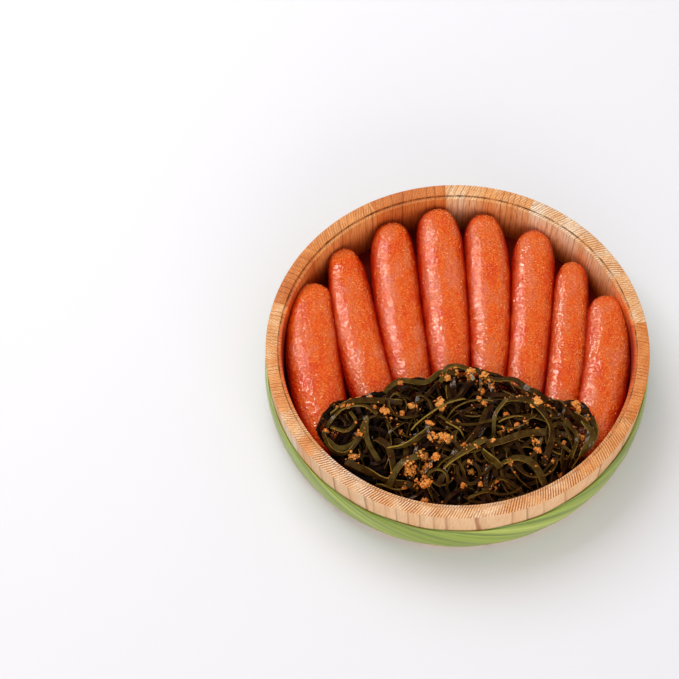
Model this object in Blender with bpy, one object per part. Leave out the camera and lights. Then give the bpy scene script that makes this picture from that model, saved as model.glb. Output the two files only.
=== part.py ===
"""Eight salted, chilli-cured cod roe sacs and a heap of shredded kombu in a round cedar tub.

Metres, +Z up. The origin is the centre of the tub's foot, on the table. The roe sacs fan out
towards +Y, the back, and the kombu with its roe crumbs lies over their lower ends at the front.
"""
import math
import random

import bmesh
import bpy
from mathutils import Vector, noise
from mathutils.bvhtree import BVHTree

MM = 0.001
GAP = 0.3 * MM                      # clearance between neighbouring pieces
FACET_SLACK = 0.15 * MM             # extra room where flat facets stand in for round walls

# Tub: coopered staves round a raised bottom board
TUB_HEIGHT = 38.0 * MM
RIM_RADIUS = 100.0 * MM
FOOT_RADIUS = 96.8 * MM
LIP_RADIUS = 93.8 * MM              # inner edge of the rim's top face
LEDGE_RADIUS = 91.7 * MM            # inner edge of the step that the lid sits in
LEDGE_DEPTH = 1.2 * MM
INNER_FOOT_RADIUS = 88.8 * MM       # inner wall, carried down to the table
EDGE_CHAMFER = 0.6 * MM
BOARD_BOTTOM = 3.2 * MM
BOARD_TOP = 8.5 * MM
BOARD_SEGMENTS = 72
GROOVE_RADIUS = 91.9 * MM           # the board's edge sits in a groove this deep
STAVE_STEP = math.radians(4.5)
# Joints between staves, in degrees from +X; cedar staves are cut to no fixed width
STAVE_JOINTS = (9, 27, 45, 65, 93, 117, 140, 164, 184, 203, 220, 242, 264, 283.5, 309.5, 334)

# Hoop: five flat strands twisted four times on their way round the tub
HOOP_CENTRE_HEIGHT = 14.0 * MM
HOOP_HEIGHT = 18.4 * MM
HOOP_THICKNESS = 2.1 * MM
HOOP_STRANDS = 5
HOOP_TURNS = 4
HOOP_STEPS = 76
HOOP_PHASE = math.radians(35)
# Distance from the rope's middle at the valley beside each strand and at its two shoulders
HOOP_SECTION = (0.80, 1.0, 0.97)

# Roe sacs from left to right. Places are (x, y) in mm of the two ends of the centre line; bow
# is how far its middle swings to the right; widths are at the back, middle and front; lift is
# how far the back and front ends lie above the board.
SACS = (
    dict(back=(-75.8, 44.5), front=(-63.5, -52.0), bow=-5.0,
         widths=(27.0, 27.5, 24.0), height=22.5, lift=(4, 0)),
    dict(back=(-60.6, 67.2), front=(-38.0, -36.0), bow=-3.0,
         widths=(23.0, 24.5, 22.0), height=22.5, lift=(2, 0)),
    dict(back=(-33.8, 83.0), front=(-20.5, -26.0), bow=-2.6,
         widths=(22.5, 24.0, 20.0), height=22.0, lift=(3, 0)),
    dict(back=(-9.6, 90.2), front=(-2.0, -24.0), bow=0.2,
         widths=(24.5, 23.5, 20.0), height=21.5, lift=(6, 0)),
    dict(back=(14.8, 87.5), front=(15.6, -25.0), bow=2.4,
         widths=(22.5, 22.5, 17.0), height=21.5, lift=(4, 0)),
    dict(back=(42.3, 79.0), front=(33.0, -32.0), bow=1.4,
         widths=(23.0, 22.0, 20.0), height=21.5, lift=(2, 0)),
    dict(back=(62.4, 60.0), front=(51.6, -43.0), bow=1.6,
         widths=(20.0, 20.0, 18.0), height=20.5, lift=(1, 0)),
    dict(back=(79.4, 36.6), front=(63.5, -58.0), bow=5.6,
         widths=(24.0, 24.5, 19.0), height=22.0, lift=(5, 1)),
)
SAC_AROUND = 12
SAC_ALONG = 14
SAC_END_POWER = 4.0                 # 2 is an ellipse, more is a blunter end
SAC_SECTION_POWER = 2.3
SAC_SINK = 0.96                     # how much of its lower half a sac keeps, lying flat
SAC_UNEVENNESS = 0.45 * MM
SAC_UNEVEN_WAVE = 24 * MM
SAC_NOISE_STEP = 7.3                # sets the sacs apart in the noise pattern

# Kombu heap: a mound with shredded strips and roe crumbs fused on
HEAP_CENTRE = (1.0 * MM, -46.0 * MM)
HEAP_HALF_LENGTH = 90.0 * MM
HEAP_BACK_REACH = 43.0 * MM
HEAP_FRONT_REACH = 47.0 * MM
HEAP_PLAN_POWER = 1.65              # outline in plan; 2 is an ellipse, less is more pointed
HEAP_BACK_STEEPNESS = 8.0
HEAP_FRONT_STEEPNESS = 2.2
HEAP_TOP = 33.6 * MM
HEAP_BASE = BOARD_TOP + GAP
HEAP_LIMIT = TUB_HEIGHT - LEDGE_DEPTH - GAP     # nothing on the heap stands in the lid's way
HEAP_ROUGHNESS = 1.2 * MM
HEAP_ROUGH_WAVE = 9.0 * MM
HEAP_AROUND = 34
HEAP_RINGS = 8
STRIP_WIDTH = 3.6 * MM
STRIP_THICKNESS = 1.0 * MM
STRIP_PIECE = 7.5 * MM              # length of one straight bit of a bent strip
STRIP_PROUD = 0.1 * MM              # its upper face at its ends, above what it lies on
STRIP_RISE = (0.2 * MM, 0.7 * MM)   # between them: how far it is lifted, and its wave's height
STRIP_WAVE = 1.3                    # the wave's phase, in radians for each straight bit
STRIP_LEAN = 0.35                   # greatest sideways slope
# The large strips on top, as (x, y) in mm along each
LARGE_STRIPS = (
    ((14, -52), (3, -61), (-8, -68)),
    ((14, -56), (32, -50), (45, -48)),
    ((24, -29), (37, -30), (46, -41), (48, -51), (44, -62)),
    ((18, -48), (19, -38), (25, -29)),
    ((-24, -46), (-8, -32), (4, -28)),
    ((-37, -58), (-26, -55), (-14, -46)),
    ((-43, -50), (-36, -58), (-33, -72)),
    ((-48, -39), (-47, -52), (-41, -62)),
    ((-69, -50), (-62, -55), (-53, -52), (-48, -43)),
    ((-62, -34), (-47, -29), (-29, -30)),
    ((-58, -62), (-38, -73), (-22, -76)),
    ((22, -66), (30, -62), (38, -64), (44, -74)),
    ((12, -59), (21, -68)),
    ((-6, -42), (3, -48)),
    ((64, -42), (69, -51), (63, -60)),
    ((-36, -22), (-18, -17), (-2, -12)),
    ((10, -12), (26, -19), (42, -27)),
    ((-20, -62), (-30, -66), (-36, -76)),
)
SMALL_STRIPS = 16
SMALL_STRIP_HALF = (6, 13)          # half length, mm
SMALL_STRIP_BEND = 5                # how far its middle may lie to one side, mm
SMALL_STRIP_WIDTH = (0.6, 1.0)      # as a share of a large strip's
# Roe crumbs: (x, y, size) in mm of the large clumps
LARGE_CRUMBS = (
    (-8, -51, 7.4), (-19, -60, 6.1), (-25, -68, 6.7), (-17, -76, 5.1), (-54, -59, 6.4),
    (-38, -36, 4.5), (-9, -32, 5.4), (3, -56, 4.2), (32, -27, 4.8), (40, -31, 6.1),
    (40, -53, 4.5), (7, -12, 5.6), (14, -15, 5.2), (-30, -45, 4.8), (6, -66, 4.5),
)
SMALL_CRUMBS = 16
SMALL_CRUMB_SIZE = (1.8, 2.9)       # mm
CRUMB_FINE_FROM = 6.0 * MM          # larger clumps get more faces
CRUMB_PROUD = 0.2                   # how far its middle lies above the heap, in its own sizes
CRUMB_LUMP = 0.45
CRUMB_LUMP_WAVE = 0.4
# Where the small pieces are scattered: x and y in mm, and how far out in the heap and the tub
SCATTER_X = (-72, 72)
SCATTER_Y = (-86, -6)
SCATTER_REACH = 0.76
SCATTER_RADIUS = 84
SCATTER_SEED = 11

# Colour (linear) and roughness of each material
FINISHES = {
    "cedar": ((0.80, 0.50, 0.27), 0.6),
    "cedar_board": ((0.76, 0.47, 0.27), 0.6),
    "green_bamboo": ((0.33, 0.50, 0.10), 0.45),
    "cured_roe": ((0.80, 0.19, 0.08), 0.35),
    "kombu": ((0.035, 0.032, 0.012), 0.3),
}


def clear_scene():
    for thing in list(bpy.data.objects):
        bpy.data.objects.remove(thing, do_unlink=True)


def new_collection(name):
    group = bpy.data.collections.new(name)
    bpy.context.scene.collection.children.link(group)
    return group


def finish(name):
    colour, roughness = FINISHES[name]
    material = bpy.data.materials.new(name)
    material.use_nodes = True
    shader = material.node_tree.nodes["Principled BSDF"]
    shader.inputs["Base Color"].default_value = (*colour, 1.0)
    shader.inputs["Roughness"].default_value = roughness
    shader.inputs["Metallic"].default_value = 0.0
    return material


def add_object(name, bm, group, material=None, sharp=None):
    """Turn a bmesh into an object of the group, its faces pointing out."""
    bmesh.ops.recalc_face_normals(bm, faces=bm.faces)
    if bm.calc_volume(signed=True) < 0:
        bmesh.ops.reverse_faces(bm, faces=bm.faces)
    mesh = bpy.data.meshes.new(name)
    bm.to_mesh(mesh)
    bm.free()
    if material:
        mesh.materials.append(material)
    if sharp:
        mesh.shade_smooth()
        mesh.set_sharp_from_angle(angle=math.radians(sharp))
    thing = bpy.data.objects.new(name, mesh)
    group.objects.link(thing)
    return thing


def outer_radius(z):
    return FOOT_RADIUS + (RIM_RADIUS - FOOT_RADIUS) * z / TUB_HEIGHT


def inner_radius(z):
    ledge_height = TUB_HEIGHT - LEDGE_DEPTH
    return INNER_FOOT_RADIUS + (LEDGE_RADIUS - INNER_FOOT_RADIUS) * z / ledge_height


def stave_profile():
    """The stave's section as (radius, height), from the foot's outer edge upwards."""
    groove_top = BOARD_TOP + GAP
    groove_bottom = BOARD_BOTTOM - GAP
    ledge_height = TUB_HEIGHT - LEDGE_DEPTH
    return (
        (FOOT_RADIUS - EDGE_CHAMFER, 0.0),
        (outer_radius(EDGE_CHAMFER), EDGE_CHAMFER),
        (outer_radius(TUB_HEIGHT - EDGE_CHAMFER), TUB_HEIGHT - EDGE_CHAMFER),
        (RIM_RADIUS - EDGE_CHAMFER, TUB_HEIGHT),
        (LIP_RADIUS, TUB_HEIGHT),
        (LIP_RADIUS, ledge_height),
        (LEDGE_RADIUS, ledge_height),
        (inner_radius(groove_top), groove_top),
        (GROOVE_RADIUS, groove_top),
        (GROOVE_RADIUS, groove_bottom),
        (inner_radius(groove_bottom), groove_bottom),
        (INNER_FOOT_RADIUS, 0.0),
    )


def make_staves(group, material):
    joint = GAP / INNER_FOOT_RADIUS
    following = STAVE_JOINTS[1:] + (STAVE_JOINTS[0] + 360,)
    for number, (start, end) in enumerate(zip(STAVE_JOINTS, following), 1):
        first = math.radians(start) + joint / 2
        sweep = math.radians(end - start) - joint
        bm = bmesh.new()
        outward = Vector((math.cos(first), math.sin(first), 0))
        corners = [bm.verts.new(outward * r + Vector((0, 0, z))) for r, z in stave_profile()]
        bm.faces.new(corners)
        bmesh.ops.spin(bm, geom=bm.verts[:] + bm.edges[:] + bm.faces[:],
                       cent=(0, 0, 0), axis=(0, 0, 1), angle=sweep,
                       steps=math.ceil(sweep / STAVE_STEP), use_duplicate=False)
        add_object(f"stave_{number:02d}", bm, group, material, sharp=20)


def make_board(group, material):
    bm = bmesh.new()
    radius = GROOVE_RADIUS - GAP - FACET_SLACK
    bmesh.ops.create_cone(bm, cap_ends=True, segments=BOARD_SEGMENTS,
                          radius1=radius, radius2=radius, depth=BOARD_TOP - BOARD_BOTTOM)
    bmesh.ops.translate(bm, vec=(0, 0, (BOARD_TOP + BOARD_BOTTOM) / 2), verts=bm.verts)
    add_object("bottom_board", bm, group, material, sharp=30)


def make_hoop(group, material):
    """Loft a flat, lobed section round the wall, the lobes turning as the strands twist."""
    bm = bmesh.new()
    rings = []
    lobe = 2 * math.pi / HOOP_STRANDS
    corner = lobe / len(HOOP_SECTION)
    for step in range(HOOP_STEPS):
        around = 2 * math.pi * step / HOOP_STEPS
        ring = []
        for strand in range(HOOP_STRANDS):
            for place, reach in enumerate(HOOP_SECTION):
                turn = HOOP_PHASE + strand * lobe + place * corner - HOOP_TURNS * around
                z = HOOP_CENTRE_HEIGHT + HOOP_HEIGHT / 2 * reach * math.sin(turn)
                middle = outer_radius(z) + GAP + FACET_SLACK + HOOP_THICKNESS / 2
                radius = middle + HOOP_THICKNESS / 2 * reach * math.cos(turn)
                ring.append(bm.verts.new((radius * math.cos(around), radius * math.sin(around), z)))
        rings.append(ring)
    for ring, following in zip(rings, rings[1:] + rings[:1]):
        for one in range(len(ring)):
            two = (one + 1) % len(ring)
            bm.faces.new((ring[one], ring[two], following[two], following[one]))
    bmesh.ops.triangulate(bm, faces=bm.faces)
    add_object("hoop", bm, group, material, sharp=35)


def sac_point(sac, t):
    """The sac's centre line in plan, from its back end at t = 0 to its front end at t = 1."""
    back = Vector(sac["back"])
    front = Vector(sac["front"])
    return (back.lerp(front, t) + Vector((sac["bow"] * 4 * t * (1 - t), 0))) * MM


def sac_width(sac, t):
    back, middle, front = sac["widths"]
    near = (1 - t) * (1 - 2 * t)
    mid = 4 * t * (1 - t)
    far = t * (2 * t - 1)
    return (near * back + mid * middle + far * front) * MM


def sac_x_at(sac, y):
    """Where the centre line, carried on past both ends, crosses the given y."""
    back_y = sac["back"][1] * MM
    front_y = sac["front"][1] * MM
    t = (y - back_y) / (front_y - back_y)
    return sac_point(sac, t).x, sac_width(sac, min(max(t, 0), 1))


def press_between(number, x, y):
    """Keep a sac on its own side of the line where it touches its neighbour."""
    own_x, own_width = sac_x_at(SACS[number], y)
    room = GAP / 2 + FACET_SLACK
    for other, side in ((number - 1, -1), (number + 1, 1)):
        if 0 <= other < len(SACS):
            other_x, other_width = sac_x_at(SACS[other], y)
            share = own_width / (own_width + other_width)
            limit = own_x + (other_x - own_x) * share - side * room
            x = max(x, limit) if side < 0 else min(x, limit)
    return x


def press_to_wall(x, y, z):
    """Soft food stops at the tub's inner wall."""
    limit = inner_radius(z) - GAP - FACET_SLACK
    radius = math.hypot(x, y)
    if radius > limit:
        x, y = x * limit / radius, y * limit / radius
    return x, y


def sac_mesh(number):
    """Shape a sphere into a long, blunt sac that lies on the board and fills its place."""
    sac = SACS[number]
    bm = bmesh.new()
    bmesh.ops.create_uvsphere(bm, u_segments=SAC_AROUND, v_segments=SAC_ALONG, radius=1.0)
    half_height = sac["height"] / 2 * MM
    length = (Vector(sac["back"]) - Vector(sac["front"])).length * MM
    for vert in bm.verts:
        along = min(max(vert.co.z, -1), 1)
        angle = math.atan2(vert.co.y, vert.co.x)
        t = (1 - along) / 2
        swell = (1 - abs(along) ** SAC_END_POWER) ** (1 / SAC_END_POWER)
        across = math.copysign(abs(math.cos(angle)) ** (2 / SAC_SECTION_POWER), math.cos(angle))
        upward = math.copysign(abs(math.sin(angle)) ** (2 / SAC_SECTION_POWER), math.sin(angle))
        centre = sac_point(sac, t)
        heading = (sac_point(sac, t + 0.01) - sac_point(sac, t - 0.01)).normalized()
        half_width = sac_width(sac, t) / 2
        spot = Vector((number * SAC_NOISE_STEP, t * length / SAC_UNEVEN_WAVE, angle))
        uneven = SAC_UNEVENNESS * noise.noise(spot)
        plan = centre + Vector((-heading.y, heading.x)) * across * swell * (half_width + uneven)
        back_lift, front_lift = sac["lift"]
        lift = (back_lift + (front_lift - back_lift) * t) * MM
        middle = BOARD_TOP + GAP + half_height * SAC_SINK + lift
        z = max(middle + upward * swell * (half_height + uneven), BOARD_TOP + GAP)
        x = press_between(number, plan.x, plan.y)
        x, y = press_to_wall(x, plan.y, z)
        vert.co = (x, y, z)
    return bm


def make_sacs(group, material):
    return [add_object(f"roe_sac_{number + 1}", sac_mesh(number), group, material, sharp=60)
            for number in range(len(SACS))]


def heap_distance(x, y):
    """0 at the mound's centre and 1 on its outline, were the tub's wall not in the way."""
    reach = HEAP_BACK_REACH if y > HEAP_CENTRE[1] else HEAP_FRONT_REACH
    across = abs(x - HEAP_CENTRE[0]) / HEAP_HALF_LENGTH
    along = abs(y - HEAP_CENTRE[1]) / reach
    return (across ** HEAP_PLAN_POWER + along ** HEAP_PLAN_POWER) ** (1 / HEAP_PLAN_POWER)


def heap_height(x, y):
    """Height of the kombu mound's top, with a steep back edge and a long front slope."""
    steepness = HEAP_BACK_STEEPNESS if y > HEAP_CENTRE[1] else HEAP_FRONT_STEEPNESS
    distance = min(heap_distance(x, y), 1.0)
    rough = HEAP_ROUGHNESS * noise.noise(Vector((x, y, 0)) / HEAP_ROUGH_WAVE)
    level = (HEAP_TOP - HEAP_BASE) * (1 - distance ** steepness) ** 0.5
    return HEAP_BASE + level + rough * (1 - distance ** 4)


def heap_outline(direction):
    """How far the mound reaches from its centre, in plan, before its edge or the tub's wall."""
    centre = Vector(HEAP_CENTRE)
    near = centre + direction * MM
    to_edge = MM / heap_distance(near.x, near.y)
    wall = inner_radius(HEAP_BASE) - GAP - FACET_SLACK
    along = centre.dot(direction)
    to_wall = -along + math.sqrt(along ** 2 + wall ** 2 - centre.length_squared)
    return min(to_edge, to_wall)


def heap_core():
    """A closed mound: the upper half of a sphere stretched to the outline, on a flat base."""
    bm = bmesh.new()
    bmesh.ops.create_uvsphere(bm, u_segments=HEAP_AROUND, v_segments=2 * HEAP_RINGS, radius=1.0)
    for vert in bm.verts:
        plan = Vector((vert.co.x, vert.co.y))
        spot = Vector(HEAP_CENTRE)
        if plan.length > 0.01:
            spot += plan * heap_outline(plan.normalized())
        on_top = vert.co.z > 0.01
        vert.co = (spot.x, spot.y, heap_height(spot.x, spot.y) if on_top else HEAP_BASE)
    flat = [face for face in bm.faces if all(v.co.z <= HEAP_BASE + 1e-6 for v in face.verts)]
    bmesh.ops.dissolve_faces(bm, faces=flat)
    return bm


def curve_points(corners, spacing):
    """Points at an even spacing along a smooth line through the corners (Catmull-Rom)."""
    knots = [Vector(c) * MM for c in corners]
    knots = [2 * knots[0] - knots[1]] + knots + [2 * knots[-1] - knots[-2]]
    points = []
    for a, b, c, d in zip(knots, knots[1:], knots[2:], knots[3:]):
        count = max(1, round((c - b).length / spacing))
        for step in range(count):
            t = step / count
            points.append(0.5 * (2 * b + (c - a) * t + (2 * a - 5 * b + 4 * c - d) * t ** 2
                                 + (3 * b - 3 * c + d - a) * t ** 3))
    return points + [knots[-2]]


class Ground:
    """What strips and crumbs lie on: the mound and the tops of the sacs."""

    def __init__(self, sacs):
        self.trees = [BVHTree.FromObject(sac, bpy.context.evaluated_depsgraph_get()) for sac in sacs]

    def height(self, x, y):
        top = heap_height(x, y)
        for tree in self.trees:
            hit = tree.ray_cast(Vector((x, y, 1)), Vector((0, 0, -1)))[0]
            if hit:
                top = max(top, hit.z + 2 * GAP)
        return top


def strip_mesh(corners, ground, width, seed):
    """A thin wavy ribbon along the corners; it is split into triangles before it gets thickness."""
    points = curve_points(corners, STRIP_PIECE)
    count = len(points) - 1
    bm = bmesh.new()
    bmesh.ops.create_grid(bm, x_segments=count, y_segments=1, size=1.0)
    draw = random.Random(seed)
    lean = draw.uniform(-STRIP_LEAN, STRIP_LEAN)
    wave = draw.uniform(0, 2 * math.pi)
    lift, swing = STRIP_RISE
    for vert in bm.verts:
        place = round((vert.co.x + 1) / 2 * count)
        side = 1 if vert.co.y > 0 else -1
        before = points[max(place - 1, 0)]
        after = points[min(place + 1, count)]
        heading = (after - before).normalized()
        spot = points[place] + Vector((-heading.y, heading.x)) * side * width / 2
        top = ground.height(points[place].x, points[place].y) + STRIP_PROUD
        if 0 < place < count:
            top += lift + swing * (1 + math.sin(wave + STRIP_WAVE * place))
        z = min(top + side * lean * width / 2, HEAP_LIMIT - STRIP_THICKNESS)
        x, y = press_to_wall(spot.x, spot.y, z - STRIP_THICKNESS)
        vert.co = (x, y, z)
    bmesh.ops.triangulate(bm, faces=bm.faces)
    bmesh.ops.recalc_face_normals(bm, faces=bm.faces)
    bmesh.ops.solidify(bm, geom=bm.faces, thickness=STRIP_THICKNESS)
    return bm


def crumb_mesh(x, y, size, ground, seed):
    """One clump of roe grains: a lumpy ball a third sunk in the heap."""
    bm = bmesh.new()
    bmesh.ops.create_icosphere(bm, subdivisions=2 if size > CRUMB_FINE_FROM else 1, radius=size / 2)
    z = min(ground.height(x, y) + CRUMB_PROUD * size, HEAP_LIMIT - size / 2 * (1 + CRUMB_LUMP))
    shift = Vector((seed * 1.7, seed * 0.9, 0))
    for vert in bm.verts:
        lump = 1 + CRUMB_LUMP * noise.noise(vert.co / (CRUMB_LUMP_WAVE * size) + shift)
        spot = vert.co * lump + Vector((x, y, z))
        spot.x, spot.y = press_to_wall(spot.x, spot.y, spot.z)
        vert.co = spot
    return bm


def scattered(draw):
    """A random place on the heap, as (x, y) in mm, some way in from its outline."""
    while True:
        x = draw.uniform(*SCATTER_X)
        y = draw.uniform(*SCATTER_Y)
        if heap_distance(x * MM, y * MM) < SCATTER_REACH and math.hypot(x, y) < SCATTER_RADIUS:
            return x, y


def make_kombu(group, sacs, material):
    ground = Ground(sacs)
    pieces = new_collection("kombu_pieces")
    draw = random.Random(SCATTER_SEED)
    for number, corners in enumerate(LARGE_STRIPS):
        add_object(f"strip_{number}", strip_mesh(corners, ground, STRIP_WIDTH, number), pieces)
    for number in range(SMALL_STRIPS):
        middle = Vector(scattered(draw))
        turn = draw.uniform(0, 2 * math.pi)
        heading = Vector((math.cos(turn), math.sin(turn)))
        half = heading * draw.uniform(*SMALL_STRIP_HALF)
        bend = heading.orthogonal() * draw.uniform(-SMALL_STRIP_BEND, SMALL_STRIP_BEND)
        width = STRIP_WIDTH * draw.uniform(*SMALL_STRIP_WIDTH)
        corners = (middle + half, middle + bend, middle - half)
        add_object(f"short_strip_{number}", strip_mesh(corners, ground, width, 100 + number), pieces)
    for number, (x, y, size) in enumerate(LARGE_CRUMBS):
        add_object(f"crumb_{number}", crumb_mesh(x * MM, y * MM, size * MM, ground, number), pieces)
    for number in range(SMALL_CRUMBS):
        x, y = scattered(draw)
        size = draw.uniform(*SMALL_CRUMB_SIZE) * MM
        add_object(f"small_crumb_{number}", crumb_mesh(x * MM, y * MM, size, ground, 50 + number), pieces)

    cutters = new_collection("sac_cutters")
    for sac in sacs:
        bm = bmesh.new()
        bm.from_mesh(sac.data)
        for vert, normal in [(v, v.normal.copy()) for v in bm.verts]:
            vert.co += normal * (GAP + FACET_SLACK)
        add_object(f"clear_of_{sac.name}", bm, cutters)
    for thing in [*pieces.objects, *cutters.objects]:
        thing.hide_render = True
        thing.display_type = 'WIRE'

    heap = add_object("kombu_heap", heap_core(), group, material)
    for name, operation, with_what in (("pieces", 'UNION', pieces), ("sacs", 'DIFFERENCE', cutters)):
        boolean = heap.modifiers.new(name, 'BOOLEAN')
        boolean.operation = operation
        boolean.operand_type = 'COLLECTION'
        boolean.collection = with_what
        boolean.solver = 'MANIFOLD'
    joined = bpy.data.meshes.new_from_object(heap.evaluated_get(bpy.context.evaluated_depsgraph_get()))
    heap.modifiers.clear()
    keep_largest_body(joined)
    joined.materials.clear()
    joined.materials.append(material)
    heap.data = joined
    for collection in (pieces, cutters):
        for thing in list(collection.objects):
            bpy.data.objects.remove(thing, do_unlink=True)
        bpy.data.collections.remove(collection)


def keep_largest_body(mesh):
    """Drop loose scraps and fill sealed hollows: only the largest closed surface stays."""
    bm = bmesh.new()
    bm.from_mesh(mesh)
    left = set(bm.verts)
    bodies = []
    while left:
        body = {left.pop()}
        edge_of_body = list(body)
        while edge_of_body:
            vert = edge_of_body.pop()
            for edge in vert.link_edges:
                other = edge.other_vert(vert)
                if other in left:
                    left.remove(other)
                    body.add(other)
                    edge_of_body.append(other)
        bodies.append(body)
    bodies.sort(key=len)
    bmesh.ops.delete(bm, geom=[v for body in bodies[:-1] for v in body], context='VERTS')
    bm.to_mesh(mesh)
    bm.free()


def main():
    clear_scene()
    tub = new_collection("roe_in_cedar_tub")
    make_staves(tub, finish("cedar"))
    make_board(tub, finish("cedar_board"))
    make_hoop(tub, finish("green_bamboo"))
    sacs = make_sacs(tub, finish("cured_roe"))
    make_kombu(tub, sacs, finish("kombu"))


main()
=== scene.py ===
"""Open cedar tub of chilli-cured cod roe and shredded kombu: fine pieces, finishes, light, camera.

Metres, +Z up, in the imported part's own frame: the origin is the middle of the tub's foot.
"""

import math
import random
from functools import partial

import bmesh
import bpy
import numpy as np
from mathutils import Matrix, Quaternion, Vector, noise
from mathutils.bvhtree import BVHTree


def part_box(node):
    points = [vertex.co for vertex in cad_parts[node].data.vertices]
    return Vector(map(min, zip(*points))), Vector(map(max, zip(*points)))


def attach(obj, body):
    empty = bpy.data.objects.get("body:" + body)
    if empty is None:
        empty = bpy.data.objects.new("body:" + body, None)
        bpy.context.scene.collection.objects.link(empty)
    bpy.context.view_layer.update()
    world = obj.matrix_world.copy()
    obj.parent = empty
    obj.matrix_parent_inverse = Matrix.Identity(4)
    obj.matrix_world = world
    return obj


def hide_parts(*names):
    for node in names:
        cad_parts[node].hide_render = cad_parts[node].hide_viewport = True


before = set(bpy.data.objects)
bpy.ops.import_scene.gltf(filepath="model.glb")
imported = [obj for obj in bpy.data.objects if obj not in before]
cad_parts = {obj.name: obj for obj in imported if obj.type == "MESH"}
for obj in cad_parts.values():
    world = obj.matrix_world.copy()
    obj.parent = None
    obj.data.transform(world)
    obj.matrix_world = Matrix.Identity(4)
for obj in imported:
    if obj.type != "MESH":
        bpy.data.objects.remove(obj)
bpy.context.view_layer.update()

MM = 0.001
DEG = math.pi / 180

# Tub, as the part has it
TUB_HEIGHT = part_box("stave_01")[1].z
RIM_RADIUS = 100.0 * MM
FOOT_RADIUS = 96.8 * MM
LIP_RADIUS = 93.8 * MM  # inner edge of the rim's top face
LEDGE_DEPTH = 1.2 * MM  # the step that the lid sits in
INNER_RIM_RADIUS = 91.8 * MM
INNER_FOOT_RADIUS = 88.8 * MM
BOARD_BOTTOM, BOARD_TOP = (corner.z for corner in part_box("bottom_board"))
BOARD_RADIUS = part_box("bottom_board")[1].x
BOARD_ROUNDING = 0.4 * MM
FILM_DEPTH = 0.8 * MM  # of the dark red film on the board, painted shade between the sacs; it reaches as far into the wall
CORNER_ROUNDING = 0.5 * MM
JOINT_GAP = 0.02 * MM  # the staves are pressed tight; their joints barely show
JOINT_BEVEL = 0.06 * MM
STAVE_STEP = 1.5 * DEG
SHARP = 60 * DEG  # edges sharper than this are rounded

# The wood's look, in mm
OUTSIDE_RADIUS = 95.5  # what lies further out is the tub's outside
GRAIN_RADIUS = 96  # where the grain is measured along the wall
GRAIN_PER_DEGREE = 1.68  # of the wall there
SIDE_TONE, SIDE_TONE_SHARE = 0.18, 0.35  # the planed outside is paler and more even
SAPWOOD_PALER = 0.22
SOAK_AND_SHADE_HEIGHT = 30  # to where marinade has crept up inside, and painted shade with the roe's red glow darkens it
SOAK_AND_SHADE_FURTHER = 20  # where the sacs lean on the wall, at -X and +X
SOAK_AND_SHADE_FADE = 13  # the height over which it pales
EDGE_MARGIN = 0.3  # off the top face, and off the lid's ledge

# Staves round the tub: the joint each starts at, in degrees from +X; where the pith of its tree
# lay, in mm along the wall and out of it; the growth ring's width in mm; its tone, from pale
# sapwood at 0 to deep heartwood at 1; how strongly the saw has marked its end; and, where there
# is one, the pale streak of sapwood in it, from and to, in degrees
STAVES = (
    dict(start=9, pith=(-260, 60), ring=1.9, tone=0.34, saw=0.5),
    dict(start=27, pith=(300, 130), ring=1.7, tone=0.24, saw=0.8),
    dict(start=45, pith=(160, 90), ring=3.4, tone=0.16, saw=0.6),
    dict(start=65, pith=(260, 30), ring=3.2, tone=0.40, saw=0.5, pale=(86, 92)),
    dict(start=93, pith=(240, 60), ring=4.5, tone=0.92, saw=0.6),
    dict(start=117, pith=(200, 110), ring=4.2, tone=0.60, saw=0.6),
    dict(start=140, pith=(-220, 20), ring=3.0, tone=0.90, saw=0.5, pale=(139, 144)),
    dict(start=164, pith=(320, 10), ring=2.1, tone=0.44, saw=0.4),
    dict(start=184, pith=(320, 10), ring=2.1, tone=0.56, saw=0.4),
    dict(start=203, pith=(300, -60), ring=2.4, tone=0.50, saw=0.8, pale=(202, 213)),
    dict(start=220, pith=(130, 50), ring=3.6, tone=0.16, saw=1.0),
    dict(start=242, pith=(180, 70), ring=2.4, tone=0.30, saw=1.0),
    dict(start=264, pith=(40, 62), ring=4.2, tone=0.26, saw=0.9),
    dict(start=283.5, pith=(70, 66), ring=3.0, tone=0.32, saw=1.0),
    dict(start=309.5, pith=(150, 80), ring=3.6, tone=0.54, saw=0.8),
    dict(start=334, pith=(300, 30), ring=2.0, tone=0.74, saw=0.3),
)

# Hoop of five flat strands twisted four times on their way round
HOOP_LOW, HOOP_HIGH = (corner.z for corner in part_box("hoop"))
HOOP_CENTRE_HEIGHT = (HOOP_LOW + HOOP_HIGH) / 2 - 1.3 * MM
HOOP_HALF_HEIGHT = 10.2 * MM
HOOP_HALF_DEPTH = 2.05 * MM  # the rope's, once pressed; its inner side is sunk in the wall
HOOP_STANDOFF = 0.5 * MM  # of the rope's middle from the wall
HOOP_STRANDS = 5
HOOP_TURNS = 4
HOOP_PHASE = 35 * DEG
STRAND_SIDES = 20
STRAND_CUTS = (17, 19)  # in two rounds, so each strand is 18 times 20 lengths
STRAND_REACH = 5.7 * MM  # from the rope's middle to a strand's, before it is flattened
STRAND_HALF_WIDTH = 6.4 * MM
STRAND_HALF_THICKNESS = 3.9 * MM
STRAND_LEAN = 14 * DEG  # each strand's edge lies over the next one's
STRAND_OFFSET = 200  # mm between the grain of one strand and the next

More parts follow.
